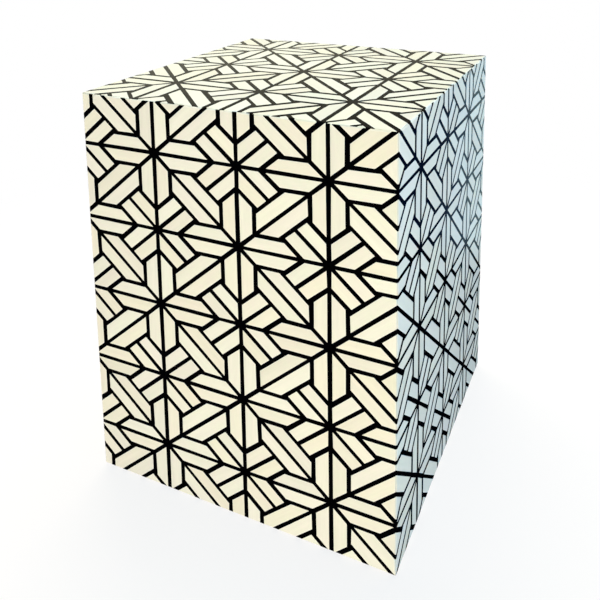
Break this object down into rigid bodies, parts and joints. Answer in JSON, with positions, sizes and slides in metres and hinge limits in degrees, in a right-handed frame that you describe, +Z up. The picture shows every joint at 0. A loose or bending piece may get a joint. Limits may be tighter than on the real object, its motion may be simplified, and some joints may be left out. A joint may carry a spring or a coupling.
{
  "type": "inlaid block side table",
  "caption": "Hollow rectangular block side table or pedestal, its top and four sides covered in a star and pinwheel inlay of bone strips set in black resin.",
  "frame": {"origin": "on the floor, under the middle of the block", "axes": "+Z up; +X to the right and -Y to the front, as the block is seen in front view"},
  "size_m": [0.4, 0.4, 0.5],
  "materials": {
    "bone": "bone strips polished flush under clear gloss lacquer",
    "resin": "black polyester resin polished flush under clear gloss lacquer",
    "board": "medium density fibreboard, sealed black where its edges show underneath",
    "softwood": "planed pine",
    "hardwood": "beech dowel",
    "screw_steel": "yellow zinc plated steel",
    "glide_nylon": "moulded black nylon"
  },
  "bodies": {
    "root": {"back_panel": "board", "base_cleat_back": "softwood", "base_cleat_front": "softwood", "base_cleat_left": "softwood", "base_cleat_right": "softwood", "base_cleat_screws": "screw_steel", "base_panel": "board", "base_panel_screws": "screw_steel", "bone_diagonals_back": "bone", "bone_diagonals_front": "bone", "bone_diagonals_left": "bone", "bone_diagonals_right": "bone", "bone_diagonals_top": "bone", "bone_petals_back": "bone", "bone_petals_front": "bone", "bone_petals_left": "bone", "bone_petals_right": "bone", "bone_petals_top": "bone", "bone_vanes_back": "bone", "bone_vanes_front": "bone", "bone_vanes_left": "bone", "bone_vanes_right": "bone", "bone_vanes_top": "bone", "corner_post_back_left": "softwood", "corner_post_back_right": "softwood", "corner_post_front_left": "softwood", "corner_post_front_right": "softwood", "front_panel": "board", "glide_screws": "screw_steel", "glides": "glide_nylon", "joint_dowels": "hardwood", "left_panel": "board", "post_screws": "screw_steel", "resin_back": "resin", "resin_front": "resin", "resin_left": "resin", "resin_right": "resin", "resin_top": "resin", "right_panel": "board", "top_cleat_back": "softwood", "top_cleat_front": "softwood", "top_cleat_left": "softwood", "top_cleat_right": "softwood", "top_cleat_screws": "screw_steel", "top_dowels": "hardwood", "top_panel": "board"}
  },
  "joints": []
}
